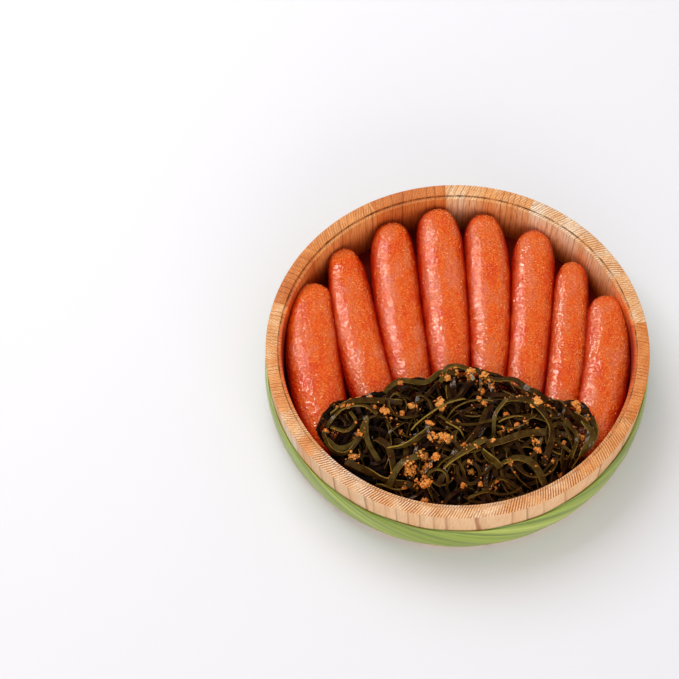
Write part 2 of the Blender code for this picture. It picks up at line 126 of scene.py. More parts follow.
# Roe sacs
SAC_COUNT = 8
SKIN_FILL = 1.3 * MM  # makes up for what rounding takes, so the sacs press together
SKIN_LUMP = 6.5 * MM
SKIN_LUMP_HEIGHT = 0.7 * MM
ROE_GRAIN = 1.25 * MM
ROE_GRAIN_HEIGHT = 0.12 * MM
TIP_LENGTH = 5 * MM  # of a sac's upper end, which is narrowed and drawn out
TIP_NARROWED = 0.88
TIP_DRAWN_OUT = 1.2 * MM
HEAP_SHADE_START, HEAP_SHADE_FADE, HEAP_SHADE_MOST = 1, 4, 0.95  # painted shade under the heap: mm and mm inside its outline; strength
SPECKS_PER_SAC = 1200
SPECK_SIZE = (0.35 * MM, 0.9 * MM)
SPECK_PATCH = 9 * MM  # specks gather in patches of this size
SPECK_CROWD = (-0.5, 0.4)  # of the patches' noise: no specks below the first, all above the other
SPECK_FACING = (0.5, 0.95)  # of the skin's normal, its Z: none below the first, all above the other
SPECK_WIDTH, SPECK_DEPTH = (0.6, 1.0), (0.4, 0.9)  # of their size

# Kombu
HEAP_LIMIT = TUB_HEIGHT - LEDGE_DEPTH - 0.3 * MM
HEAP_OUTLINE = (  # (x, y) in mm: along the sacs, then back along the front wall
    (-74, -46), (-70, -37), (-64, -29), (-51, -25), (-35, -23), (-32, -17), (-21, -15), (-12, -14),
    (-1, -8), (7, -8), (20, -12), (28, -17), (44, -24), (64, -29), (70, -39), (72, -48), (65, -61),
    (48, -74), (25, -84), (0, -88), (-25, -84), (-45, -75), (-62, -61),
)
HEAP_DEEP = 30  # mm inside its outline counts as its middle
CORE_SIZE = (0.93, 0.93, 0.70)  # of the part's heap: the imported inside, under the loose strips
CORE_CENTRE = (0, -50 * MM, BOARD_TOP)
CORE_VOXEL = 1.1 * MM
CORE_LUMP = 9.0 * MM
CORE_LUMP_HEIGHT = 3.0 * MM
STRIP_THICKNESS = 0.75 * MM
STRIP_PIECES = 16
STRIP_SPACING = 1.5 * MM
STRIP_WIDTHS = (0.8, 1.15)  # of the width that is asked for
STRIP_ACROSS = (-0.8, 0, 0.8)  # half widths from its middle, where a strip's height is taken
STRIP_STARTS = 10  # places compared for the start of a strip
STRIP_TRIES = 8
STRIP_SHORTEST = 6  # spacings
STRIP_STIFFNESS = 40  # rounds of smoothing: how far a strip bridges what is under it
STRIP_PROUD = 0.6 * MM  # how far a loose strip may lie above the heap's surface
STRIP_PEAK = 3 * MM  # how much further one point of it may
STRIPS_ON_ROE = 2 * MM  # how far the heap goes above the sacs
STRIP_TURN_MARGIN = 0.5 * MM
STRIP_LEAN = 0.3  # radians either way
STRIP_SWAY, SWAY_PER_STEP = 0.4, 0.25  # radians, and radians of its wave from point to point
TURNED_STRIPS, TURNED_LEAN = 0.3, (0.2, 1.4)  # the share turned on edge, and how far, radians
LEAN_LIFT = 0.7  # how far its lean lifts a strip; the rest of it sinks in
EDGE_ZONE = 9 * MM  # strips this near the heap's outline run along it
EDGE_WANDER, MIDDLE_WANDER = 0.15, 2.5  # radians from that course
CURL_CHANGE = 0.04  # of a strip's curl, per mm
STRIP_AREA = ((-88, 88), (-92, -2))  # x and y, mm
LARGE_STRIP_TONE = (0.55, 0.95)  # 0 is the darkest brown, 1 the palest olive
# The large strips on top: (x, y) in mm along each, as the part has them, and its width in mm
LARGE_STRIPS = (
    (((14, -52), (5, -58), (-8, -68)), 3.6),
    (((14, -56), (32, -50), (45, -48)), 3.6),
    (((24, -29), (37, -30), (46, -41), (48, -51), (44, -62)), 3.4),
    (((18, -48), (19, -38), (25, -29)), 2.0),
    (((-24, -46), (-8, -32), (4, -28)), 3.4),
    (((-37, -58), (-26, -55), (-14, -46)), 3.2),
    (((-43, -50), (-36, -58), (-33, -72)), 3.4),
    (((-48, -39), (-47, -52), (-41, -62)), 2.6),
    (((-69, -50), (-62, -55), (-53, -52), (-48, -43)), 2.8),
    (((-66, -38), (-56, -31), (-44, -30), (-29, -31)), 3.0),
    (((-68, -44), (-60, -35), (-49, -33), (-42, -38)), 1.8),
    (((-70, -47), (-66, -56), (-58, -58), (-50, -50)), 1.8),
    (((-66, -45), (-58, -47), (-53, -42), (-56, -36)), 1.6),
    (((-58, -62), (-38, -73), (-22, -76)), 3.4),
    (((22, -66), (30, -62), (38, -64), (44, -74)), 3.6),
    (((12, -59), (21, -68)), 3.6),
    (((-6, -42), (3, -48)), 3.6),
    (((60, -37), (66, -44), (66, -54), (59, -62)), 2.8),
    (((55, -41), (61, -49), (58, -60)), 2.4),
    (((64, -42), (69, -51), (63, -60)), 3.0),
    (((69, -40), (71, -49), (67, -58)), 2.2),
    (((-38, -25), (-30, -18), (-17, -19), (-9, -13), (-1, -13)), 2.6),
    (((10, -12), (19, -17), (30, -17), (38, -24), (46, -26)), 2.8),
    (((-9, -19), (-5, -10), (4, -10), (8, -18)), 2.2),
    (((-20, -62), (-30, -66), (-36, -76)), 3.2),
)
# Loose strips: how many, width, shortest and longest, how tightly they curl (per mm)
LOOSE_STRIPS = (
    (24, 2.9 * MM, 18 * MM, 42 * MM, 0.05),
    (110, 2.0 * MM, 18 * MM, 55 * MM, 0.07),
    (160, 1.2 * MM, 14 * MM, 48 * MM, 0.08),
)
# Roe crumbs: (x, y, size) in mm of the large clumps
LARGE_CRUMBS = (
    (-8, -51, 9.0), (-7, -50, 6.4), (-19, -60, 6.6), (-25, -68, 7.2), (-17, -76, 5.6),
    (-54, -59, 6.4), (-38, -36, 5.0), (-9, -32, 6.0), (3, -56, 4.2), (32, -27, 5.2),
    (40, -31, 7.0), (40, -53, 4.5), (7, -12, 6.4), (14, -15, 6.0), (-30, -45, 4.8),
    (6, -66, 5.0), (-16, -66, 5.0), (-12, -62, 4.4), (-22, -74, 5.4), (-6, -16, 5.0),
    (18, -76, 4.6),
)
CLUMPS = 75
CLUMP_AREA = ((-80, 80), (-88, -6))  # x and y, mm
CLUMP_SIZE = (1.8, 5.0, 2.4)  # least, most and commonest, mm
CLUMP_GRAIN = (0.9, 1.9)  # mm
CLUMP_ROOM = 6 * MM  # small clumps lie no further below the heap's surface than this
CLUMP_INSIDE = 2 * MM  # nor nearer its outline than this
CLUMP_LONG, CLUMP_SHORT = (0.9, 1.3), (0.6, 0.95)  # of their size
CLUMP_HEIGHT = 0.42  # of their size
CLUMP_FEWEST, CLUMP_MORE = 6, 18  # grains in any clump, and how many more in one of the usual size
CLUMP_USUAL = 3.0 * MM
GRAINS = 3350
GRAIN_AREA = ((-84, 84), (-90, -4))  # x and y, mm
GRAIN_SIZE = (0.5, 2.0, 0.8)  # least, most and commonest, mm
GRAIN_ROOM = 9 * MM  # the same two limits for single grains
GRAIN_INSIDE = 1 * MM
GRAINS_BY_CLUMPS = 0.6  # the share strewn round a clump
GRAIN_ROUGHNESS = 0.25
GRAIN_WIDTH, GRAIN_DEPTH = (0.7, 1), (0.6, 0.95)  # of its size
GRAIN_TILT = 0.5
GRAIN_RAISED = 0.25  # of its size, a single grain's middle over the kelp
# Tones of the roe, from cooked brown at 0 to bright orange at 1
CLUMP_TONE, GRAIN_TONE = (0.15, 0.3), (0, 0.5)
TONE_PER_SIZE, PAINTED_LIGHT_PER_RISE = 0.05, 0.1  # per mm: large clumps are brighter, and their tops are painted brighter as light falling on them
TONE_SPREAD = (-0.15, 0.2)  # from grain to grain in a clump

# Soft lights, all aimed at the tub: place, width, length, turn, power, colour, and whether it
# lights the surfaces and whether it shows in their gloss
LIGHTS = (
    ("softbox_back", (-0.42, 0.55, 0.95), 0.9, 0.9, 0, 8.8, "#fdfdff", True, False),
    ("strip_left", (-1.00, 0.70, 0.98), 0.21, 0.80, 114 * DEG, 38.0, "#fff2e0", False, True),
    ("fill_front", (0.30, -1.50, 0.50), 1.6, 1.0, 0, 13.0, "#fffdfb", True, True),
)
WORLD_LIGHT = 0.57

# Camera: fitted to the photo's rim ellipse; the frame is square
CAMERA_PLACE = (-0.06143, -1.03084, 1.84576)
CAMERA_TILT = 29.84 * DEG
FRAME_WIDTH = 679
LENS_IN_PIXELS = 4000
CAMERA_SHIFT = -2 / FRAME_WIDTH
SENSOR_WIDTH = 36


def linear(code):
    """An sRGB hex colour as linear RGBA."""
    parts = [int(code[i:i + 2], 16) / 255 for i in (1, 3, 5)]
    return (*(p / 12.92 if p <= 0.04045 else ((p + 0.055) / 1.055) ** 2.4 for p in parts), 1.0)


def feed(node, inputs):
    """Set a node's inputs: values on the inputs themselves, other nodes' outputs by links."""
    for name, value in inputs.items():
        if isinstance(value, bpy.types.NodeSocket):
            node.id_data.links.new(value, node.inputs[name])
        else:
            node.inputs[name].default_value = value


def add_node(tree, kind, inputs=None, stops=None, out=None, **settings):
    """Add a node with its settings, inputs and, for a colour ramp, its stops. What comes back is
    the named output, or the first that is in use."""
    made = tree.nodes.new("ShaderNode" + kind)
    for name, value in settings.items():
        setattr(made, name, value)
    feed(made, inputs or {})
    if stops:
        ramp = made.color_ramp.elements
        while len(ramp) < len(stops):
            ramp.new(0.5)
        for element, (place, shade) in zip(ramp, stops):
            element.position = place
            element.color = linear(shade) if isinstance(shade, str) else (shade, shade, shade, 1)
    return made.outputs[out] if out else next(output for output in made.outputs if output.enabled)


def new_material(name):
    """A material, what adds a node to it, and its shader."""
    material = bpy.data.materials.new(name)
    material.use_nodes = True
    tree = material.node_tree
    return material, partial(add_node, tree), tree.nodes["Principled BSDF"]


def settle(shader, **inputs):
    """Set the shader's own inputs."""
    feed(shader, {name.replace("_", " "): value for name, value in inputs.items()})


def deselect():
    bpy.ops.object.select_all(action='DESELECT')


def only(piece):
    deselect()
    piece.select_set(True)
    bpy.context.view_layer.objects.active = piece


def named(name):
    """Name the piece that an operator has just added, and put its place into its mesh."""
    piece = bpy.context.active_object
    piece.name = name
    piece.data.name = name
    bpy.ops.object.transform_apply(location=True, rotation=True, scale=True)
    return piece


def placed(name, mesh):
    """A new piece with this mesh, in the scene."""
    piece = bpy.data.objects.new(name, mesh)
    mesh.name = name
    bpy.context.scene.collection.objects.link(piece)
    return piece


def edit(piece):
    only(piece)
    bpy.ops.object.mode_set(mode='EDIT')
    bpy.ops.mesh.select_all(action='SELECT')


def done():
    bpy.ops.object.mode_set(mode='OBJECT')


def pick(piece, kind, test):
    """In edit mode, select the verts or faces whose middle passes the test."""
    bpy.ops.mesh.select_mode(type={"verts": 'VERT', "faces": 'FACE'}[kind])
    bpy.ops.mesh.select_all(action='DESELECT')
    bm = bmesh.from_edit_mesh(piece.data)
    for item in getattr(bm, kind):
        corners = [item] if kind == "verts" else item.verts
        middle = sum((v.co for v in corners), Vector()) / len(corners)
        item.select_set(bool(test(middle)))
    bm.select_flush_mode()
    bmesh.update_edit_mesh(piece.data)


def cut_lengthwise(piece, *cuts):
    """In edit mode, cut the edges that run along X into short ones, in one or more rounds."""
    bpy.ops.mesh.select_mode(type='EDGE')
    for number in cuts:
        bpy.ops.mesh.select_all(action='DESELECT')
        bm = bmesh.from_edit_mesh(piece.data)
        for edge in bm.edges:
            way = edge.verts[1].co - edge.verts[0].co
            edge.select_set(abs(way.x) > way.yz.length)
        bmesh.update_edit_mesh(piece.data)
        bpy.ops.mesh.subdivide(number_cuts=number)


def modify(piece, kind, **settings):
    """Add a modifier and apply it."""
    only(piece)
    modifier = piece.modifiers.new(kind.lower(), kind)
    for name, value in settings.items():
        setattr(modifier, name, value)
    bpy.ops.object.modifier_apply(modifier=modifier.name)


def corner_array(piece):
    places = np.empty(len(piece.data.vertices) * 3)
    piece.data.vertices.foreach_get("co", places)
    return places.reshape(-1, 3)


def note(piece, name, kind, values, where='POINT'):
    """Keep a value at each of the mesh's corners, or faces, for its material to read."""
    attribute = piece.data.attributes.new(name, kind, where)
    key = "vector" if kind == 'FLOAT_VECTOR' else "value"
    attribute.data.foreach_set(key, np.asarray(values, dtype=np.float32).ravel())


def outfit(piece, material, slot, *nodes):
    """Give a finished piece its material, let it ride, and hide the nodes it stands for. The slot is not
    used.
    """
    piece.data.materials.clear()
    piece.data.materials.append(material)
    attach(piece, "root")
    if nodes:
        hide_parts(*nodes)


# Materials

def cedar():
    """Japanese cedar, planed and sawn: straight growth rings with thin dark latewood lines, from
    pale sapwood to orange heartwood; the rim's end grain keeps the saw's slanting marks."""
    material, add, shader = new_material("planed_cedar")
    grain, place, finish = (add("Attribute", out="Vector", attribute_name=name)
                            for name in ("grain", "place", "finish"))
    tone, saw, soak_and_shade = add("SeparateXYZ", {0: finish}).node.outputs
    normal = add("NewGeometry", out="Normal")

    # growth rings: distance from the pith in ring widths, a little uneven
    flat = add("VectorMath", {0: grain, 1: (1, 1, 0)}, operation='MULTIPLY')
    reach = add("VectorMath", {0: flat}, operation='LENGTH')
    upright = add("Mapping", {"Vector": place, "Scale": (0.05, 0.05, 0.008)})
    wander = add("TexNoise", {"Vector": upright, "Scale": 1.0, "Detail": 1.0})
    rings = add("Math", {0: wander, 1: 1.6, 2: reach}, operation='MULTIPLY_ADD')
    # the outside is sawn along its rings, so they are far apart there
    up = add("SeparateXYZ", {0: normal}, out="Z")
    _, radius, level = add("SeparateXYZ", {0: place}).node.outputs
    upward = add("Math", {0: up, 1: 0.7}, operation='GREATER_THAN')
    outside = add("Math", {0: radius, 1: OUTSIDE_RADIUS}, operation='GREATER_THAN')
    outside = add("Math", {0: outside, 1: upward}, operation='SUBTRACT', use_clamp=True)
    spread = add("MapRange", {"Value": outside, "To Min": 1.0, "To Max": 0.4})
    rings = add("Math", {0: rings, 1: spread}, operation='MULTIPLY')
    phase = add("Math", {0: rings}, operation='FRACT')
    late = add("ValToRGB", {"Fac": phase}, stops=[
        (0.0, 0.0), (0.65, 0.05), (0.84, 0.3), (0.9, 1.0), (0.96, 1.0), (1.0, 0.0)])
    # each ring has a strength of its own
    count = add("Math", {0: rings}, operation='FLOOR')
    draw = add("TexWhiteNoise", {"W": count}, noise_dimensions='1D')
    strong = add("MapRange", {"Value": draw, "To Min": 0.2, "To Max": 1.0})
    lines = add("Math", {0: late, 1: strong}, operation='MULTIPLY')

    # end grain on what faces up: darker rings, and over them the saw's slanting marks, 1.3 mm
    # apart; the stronger these are, the less the rings show
    end = add("MapRange", {"Value": up, "From Min": 0.7, "From Max": 0.9})
    bare = add("Math", {0: saw, 1: -1.1, 2: 1.5}, operation='MULTIPLY_ADD')
    ended = add("MapRange", {"Value": end, "To Min": 0.75, "To Max": bare})
    lines = add("Math", {0: lines, 1: ended}, operation='MULTIPLY', use_clamp=True)
    slant = add("Mapping", {"Vector": place, "Rotation": (0, 0, -28 * DEG)})
    marks = add("TexWave", {"Vector": slant, "Scale": 0.24, "Distortion": 2.2, "Detail": 2.0,
                            "Detail Scale": 0.3}, out="Fac")
    sawn = add("MapRange", {"Value": marks, "From Min": 0.57, "From Max": 0.39})
    patch = add("TexNoise", {"Vector": place, "Scale": 0.11, "Detail": 2.0})
    patchy = add("MapRange", {"Value": patch, "From Min": 0.3, "From Max": 0.55, "To Min": 0.3})
    for share in (patchy, end, saw):
        sawn = add("Math", {0: sawn, 1: share}, operation='MULTIPLY')

    # fibres along the stave, 0.4 mm wide
    along = add("Mapping", {"Vector": place, "Scale": (2.4, 1.2, 0.10)})
    fibre = add("TexNoise", {"Vector": along, "Scale": 1.0, "Detail": 3.0})
    fibres = add("ValToRGB", {"Fac": fibre}, stops=[(0.3, "#ffffff"), (0.5, "#f6efe8"), (0.7, "#ccb298")])

    # darker in spots along the corner of the ledge
    ledge = (0, LIP_RADIUS / MM, (TUB_HEIGHT - LEDGE_DEPTH) / MM)
    corner = add("CombineXYZ", {"Y": radius, "Z": level})
    corner = add("VectorMath", {0: corner, 1: ledge}, operation='DISTANCE')
    near = add("MapRange", {"Value": corner, "From Min": 0.9, "From Max": 0.2})
    spots = add("TexNoise", {"Vector": place, "Scale": 0.25, "Detail": 2.0})
    spots = add("MapRange", {"Value": spots, "From Min": 0.35, "From Max": 0.65,
                             "To Min": 0.15, "To Max": 0.9})
    ledge_darkening = add("Math", {0: near, 1: spots}, operation='MULTIPLY')

    drift = add("TexNoise", {"Vector": grain, "Scale": 0.35, "Detail": 2.0})
    toned = add("MapRange", {"Value": drift, "From Min": 0.3, "From Max": 0.7,
                             "To Min": -0.16, "To Max": 0.16})
    toned = add("Math", {0: toned, 1: spread, 2: tone}, operation='MULTIPLY_ADD')
    colour = add("ValToRGB", {"Fac": toned}, stops=[
        (0.0, "#fff0d8"), (0.25, "#fcd2a2"), (0.5, "#f4b06e"), (0.75, "#e8924a"), (1.0, "#d27434")])
    dark = add("ValToRGB", {"Fac": toned}, stops=[(0.0, "#b06f3c"), (0.4, "#9a4e1a"), (1.0, "#7a3410")])
    # the marinade that has soaked into the inside, and painted shade with the roe's red glow: darker and
    # redder towards the bottom
    stain_and_shade = add("ValToRGB", {"Fac": soak_and_shade}, stops=[(0.0, "#ffffff"), (0.6, "#ffa04a"), (1.0, "#bc5938")])
    for share, over, way in (
            (lines, dark, 'MIX'), (spread, fibres, 'MULTIPLY'),
            # painted shade: the upright outside is painted a little duller
            (outside, linear("#e6e4e8"), 'MULTIPLY'),
            (sawn, linear("#a45c2c"), 'MIX'), (1.0, stain_and_shade, 'MULTIPLY'), (ledge_darkening, linear("#4a2410"), 'MIX')):
        colour = add("Mix", {0: share, 6: colour, 7: over}, data_type='RGBA', blend_type=way)

    rough = add("MapRange", {"Value": fibre, "To Min": 0.5, "To Max": 0.7})
    relief = add("Math", {0: sawn, 1: -1.5, 2: fibre}, operation='MULTIPLY_ADD')
    relief = add("Math", {0: lines, 1: 0.4, 2: relief}, operation='MULTIPLY_ADD')
    bump = add("Bump", {"Height": relief, "Strength": 0.5, "Distance": 0.12 * MM})
    settle(shader, Base_Color=colour, Roughness=rough, Normal=bump, Specular_IOR_Level=0.28)
    return material


def cedar_board():
    """The flat-sawn boards of the bottom: broad grain along Y, seams every 48 mm."""
    material, add, shader = new_material("cedar_board")
    spot = add("TexCoord", out="Object")
    stretched = add("Mapping", {"Vector": spot, "Scale": (260, 14, 260)})
    grain = add("TexNoise", {"Vector": stretched, "Scale": 1.0, "Detail": 4.0, "Distortion": 0.6})
    wood = add("ValToRGB", {"Fac": grain}, stops=[
        (0.30, "#b9743f"), (0.48, "#e0a06a"), (0.62, "#edbb88"), (0.8, "#d39055")])
    across = add("SeparateXYZ", {0: spot}, out="X")
    plank = add("Math", {0: across, 1: 48 * MM}, operation='PINGPONG')
    seam = add("MapRange", {"Value": plank, "From Min": 0.35 * MM, "From Max": 0.1 * MM})
    boards = add("Mix", {0: seam, 6: wood, 7: linear("#5e3116")}, data_type='RGBA')
    bump = add("Bump", {"Height": grain, "Strength": 0.4, "Distance": 0.2 * MM})
    settle(shader, Base_Color=boards, Normal=bump, Roughness=0.6)
    return material


def green_bamboo():
    """Split green bamboo: a smooth waxy skin, fresh green with yellower streaks along the fibre."""
    material, add, shader = new_material("split_green_bamboo")
    along = add("Attribute", out="Vector", attribute_name="along")
    narrow = add("Mapping", {"Vector": along, "Scale": (0.01, 1.6, 1.0)})
    fibre = add("TexNoise", {"Vector": narrow, "Scale": 1.0, "Detail": 3.0})
    wide = add("Mapping", {"Vector": along, "Scale": (0.006, 0.2, 1.0)})
    broad = add("TexNoise", {"Vector": wide, "Scale": 1.0, "Detail": 2.0})
    skin = add("ValToRGB", {"Fac": broad}, stops=[
        (0.28, "#6a7c22"), (0.45, "#84962f"), (0.6, "#93a53c"), (0.75, "#b4c05c")])
    streak = add("MapRange", {"Value": fibre, "From Min": 0.45, "From Max": 0.8, "To Max": 0.15})
    # the strand's edges are thinner, and painted darker as shade in the creases between strands
    across = add("SeparateXYZ", {0: along}, out="Z")
    edge = add("MapRange", {"Value": across, "From Min": 0.76, "From Max": 1.0, "To Max": 0.9})
    for share, over in ((streak, "#8aa040"), (edge, "#607422")):
        skin = add("Mix", {0: share, 6: skin, 7: linear(over)}, data_type='RGBA')
    bump = add("Bump", {"Height": fibre, "Strength": 0.35, "Distance": 0.1 * MM})
    settle(shader, Base_Color=skin, Normal=bump, Roughness=0.42, Specular_IOR_Level=0.5,
           Coat_Weight=0.35, Coat_Roughness=0.3)
    return material


def cured_roe():
    """Cod roe in its thin skin, cured in chilli: orange flesh paling to pink in patches, a fine
    grain under a wet film, and painted deep red shade where the skin turns down between the sacs."""
    material, add, shader = new_material("chilli_cured_roe")
    spot = add("TexCoord", out="Object")
    normal = add("NewGeometry", out="Normal")
    patches = add("Mapping", {"Vector": spot, "Scale": (110, 50, 110)})
    patch = add("TexNoise", {"Vector": patches, "Scale": 1.0, "Detail": 4.0, "Roughness": 0.65})
    skin = add("ValToRGB", {"Fac": patch}, stops=[
        (0.36, "#dc6a46"), (0.46, "#dc6026"), (0.53, "#e25600"), (0.62, "#d84000")])
    fine = add("TexNoise", {"Vector": spot, "Scale": 1.3 / MM, "Detail": 2.0})
    speckle = add("MapRange", {"Value": fine, "From Min": 0.52, "From Max": 0.66, "To Max": 0.7})
    between = add("MapRange", {"Value": fine, "From Min": 0.46, "From Max": 0.36, "To Max": 0.5})
    up = add("SeparateXYZ", {0: normal}, out="Z")
    # painted shade: the more the skin faces sideways, the deeper red it is painted
    valley = add("MapRange", {"Value": up, "From Min": 0.9, "From Max": 0.45, "To Max": 0.95})
    # painted shade where the sac runs under the heap, with no wet film there
    shade_under_heap = add("Attribute", out="Fac", attribute_name="shade_under_heap")
    for share, over in (
            (speckle, "#f4842e"), (between, "#c03000"), (valley, "#b01400"), (shade_under_heap, "#2c0502")):
        skin = add("Mix", {0: share, 6: skin, 7: linear(over)}, data_type='RGBA')
    film = add("MapRange", {"Value": shade_under_heap, "To Min": 1.0, "To Max": 0.0})

    # grains 1.5 mm across, each with a glint of its own, and puckers of 3 mm in the film over them
    grains = add("TexVoronoi", {"Vector": spot, "Scale": 0.65 / MM, "Smoothness": 0.5},
                 feature='SMOOTH_F1')
    pucker = add("TexNoise", {"Vector": spot, "Scale": 0.33 / MM, "Detail": 1.0})
    height = add("Math", {0: grains, 1: -2.4, 2: fine}, operation='MULTIPLY_ADD')
    height = add("Math", {0: pucker, 1: 1.8, 2: height}, operation='MULTIPLY_ADD')
    bump, film_bump = (add("Bump", {"Height": height, "Strength": 1.0, "Distance": depth * MM})
                       for depth in (0.26, 0.16))
    settle(shader, Base_Color=skin, Normal=bump, Roughness=0.45, Specular_IOR_Level=0.05,
           Subsurface_Weight=0.3, Subsurface_Scale=2.5 * MM, Subsurface_Radius=(1.0, 0.15, 0.05),
           Coat_Weight=film, Coat_Normal=film_bump, Coat_IOR=1.33, Coat_Roughness=0.05)
    return material


def chilli_flake():
    """Ground chilli and burst roe grains on the skin: orange, wet; the palest are painted as the grains'
    glints.
    """
    material, add, shader = new_material("ground_chilli")
    tone = add("Attribute", out="Fac", attribute_name="tone")
    # the grains' own orange, and at the pale end a painted highlight
    colour = add("ValToRGB", {"Fac": tone}, stops=[
        (0.0, "#e04a0c"), (0.35, "#f57224"), (0.7, "#fb9042"), (1.0, "#ffb478")])
    settle(shader, Base_Color=colour, Roughness=0.3, Subsurface_Weight=0.2, Subsurface_Scale=0.8 * MM,
           Specular_IOR_Level=0.25, Coat_Weight=0.25, Coat_Roughness=0.12)
    return material


def kombu():
    """Simmered kelp in shreds: dark brown to olive, slick and wet, with a painted highlight along the cut
    edges.
    """
    material, add, shader = new_material("simmered_kelp")
    spot = add("TexCoord", out="Object")
    tone, cut = (add("Attribute", out="Fac", attribute_name=name) for name in ("tone", "cut"))
    mottle = add("TexNoise", {"Vector": spot, "Scale": 0.3 / MM, "Detail": 3.0})
    uneven = add("MapRange", {"Value": mottle, "From Min": 0.3, "From Max": 0.7,
                              "To Min": -0.22, "To Max": 0.22})
    mixed = add("Math", {0: uneven, 1: tone}, operation='ADD')
    flat = add("ValToRGB", {"Fac": mixed}, stops=[
        (0.0, "#0a0301"), (0.2, "#200c04"), (0.45, "#351c08"), (0.75, "#44300d"), (1.0, "#55441b")])
    # painted highlight along the cut edges, less on the darker strips
    edge = add("MapRange", {"Value": mixed, "From Min": 0.15, "To Min": 0.1, "To Max": 0.9})
    edge = add("Math", {0: edge, 1: cut}, operation='MULTIPLY')
    colour = add("Mix", {0: edge, 6: flat, 7: linear("#9a7a34")}, data_type='RGBA')
    rough = add("MapRange", {"Value": mottle, "From Min": 0.3, "From Max": 0.7,
                             "To Min": 0.1, "To Max": 0.3})
    pucker = add("TexNoise", {"Vector": spot, "Scale": 0.7 / MM, "Detail": 2.0})
    bump = add("Bump", {"Height": pucker, "Strength": 0.6, "Distance": 0.4 * MM})
    settle(shader, Base_Color=colour, Roughness=rough, Normal=bump, Specular_IOR_Level=0.06)
    return material


def kombu_depth():
    """The wet, shadowed inside of the heap."""
    material, add, shader = new_material("packed_kelp")
    spot = add("TexCoord", out="Object")
    mottle = add("TexNoise", {"Vector": spot, "Scale": 0.3 / MM, "Detail": 3.0})
    colour = add("ValToRGB", {"Fac": mottle}, stops=[
        (0.35, "#050200"), (0.6, "#110601"), (0.75, "#2a0d03")])
    bump = add("Bump", {"Height": mottle, "Strength": 0.6, "Distance": 0.8 * MM})
    settle(shader, Base_Color=colour, Normal=bump, Roughness=0.5, Specular_IOR_Level=0.04)
    return material


def roe_crumb():
    """Loose roe among the kelp, soaked in marinade: brown to bright orange, grainy."""
    material, add, shader = new_material("loose_roe")
    spot = add("TexCoord", out="Object")
    tone = add("Attribute", out="Fac", attribute_name="tone")
    mottle = add("TexNoise", {"Vector": spot, "Scale": 0.9 / MM, "Detail": 2.0})
    mixed = add("Math", {0: mottle, 1: 0.6, 2: tone}, operation='MULTIPLY_ADD')
    colour = add("ValToRGB", {"Fac": mixed}, stops=[
        (0.2, "#5a2a0a"), (0.45, "#94561c"), (0.7, "#dc7822"), (1.0, "#f4a24c")])
    bump = add("Bump", {"Height": mottle, "Strength": 0.6, "Distance": 0.25 * MM})
    settle(shader, Base_Color=colour, Normal=bump, Roughness=0.5, Subsurface_Weight=0.2,
           Subsurface_Scale=1.2 * MM, Subsurface_Radius=(1.0, 0.45, 0.2), Specular_IOR_Level=0.25)
    return material


def painted_gap_shade():
    """A thin dark red film on the bottom, dulled and clouded: painted shade and the roe's red glow in the
    gaps between the sacs.
    """
    material, add, shader = new_material("painted_red_gap_shade")
    spot = add("TexCoord", out="Object")
    cloud = add("TexNoise", {"Vector": spot, "Scale": 0.08 / MM, "Detail": 3.0})
    colour = add("ValToRGB", {"Fac": cloud}, stops=[(0.35, "#6e0e02"), (0.7, "#921b05")])
    settle(shader, Base_Color=colour, Roughness=0.45, Specular_IOR_Level=0.1)
    return material


def studio_floor():
    """Matt white melamine table."""
    material, _, shader = new_material("white_table")
    settle(shader, Base_Color=linear("#eaeaef"), Roughness=0.5, Specular_IOR_Level=0.25)
    return material


# Tub

def outer_radius(z):
    return FOOT_RADIUS + (RIM_RADIUS - FOOT_RADIUS) * z / TUB_HEIGHT


